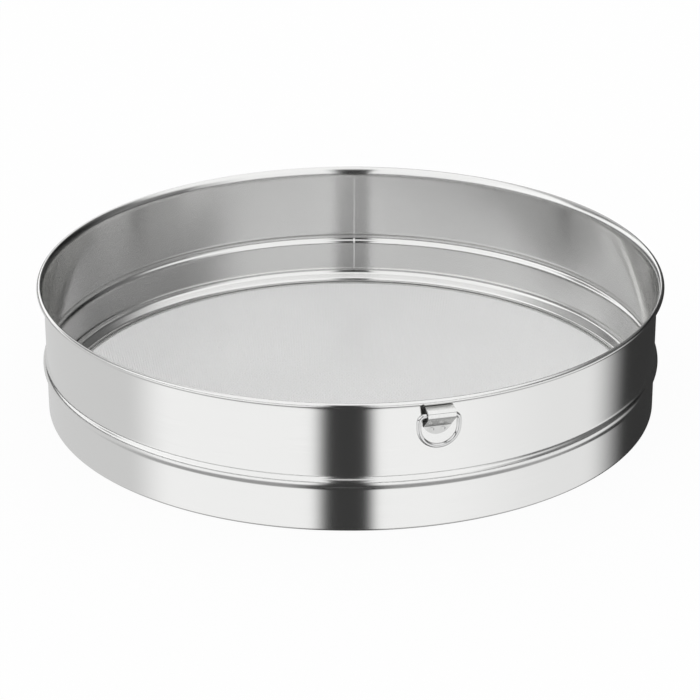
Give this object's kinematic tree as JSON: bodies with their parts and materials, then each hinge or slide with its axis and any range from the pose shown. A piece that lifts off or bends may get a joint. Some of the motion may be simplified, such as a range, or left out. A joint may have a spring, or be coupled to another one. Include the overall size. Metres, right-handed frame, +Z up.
{
  "type": "drum sieve",
  "caption": "Stainless steel drum sieve: a hoop with a rolled rim and a swaged bead, fine wire cloth clamped in its base, and a D-ring that swings from a folded strap to hang it up.",
  "frame": {"origin": "centre of the base lip's underside, on the drum's axis", "axes": "+Z up along the drum's axis, -Y towards the hanging ring"},
  "size_m": [0.3558, 0.3619, 0.075],
  "materials": {
    "polished_sheet": "stainless steel sheet, polished, with a faint grain round the drum",
    "wire_cloth": "plain-woven stainless steel wire, bright drawn",
    "bright_wire": "round stainless steel wire, bright drawn"
  },
  "bodies": {
    "drum": {"drum_hoop": "polished_sheet", "mesh_disc": "wire_cloth", "mesh_clamp_ring": "polished_sheet", "hanger_strap": "polished_sheet"},
    "swing_ring": {"hanger_ring": "bright_wire"}
  },
  "joints": [
    {"name": "ring_swing", "type": "hinge", "parent": "drum", "child": "swing_ring", "pos_m": [0, -0.1812, 0.06822], "axis": [-1, 0, 0], "range_deg": [-18, 198]}
  ]
}
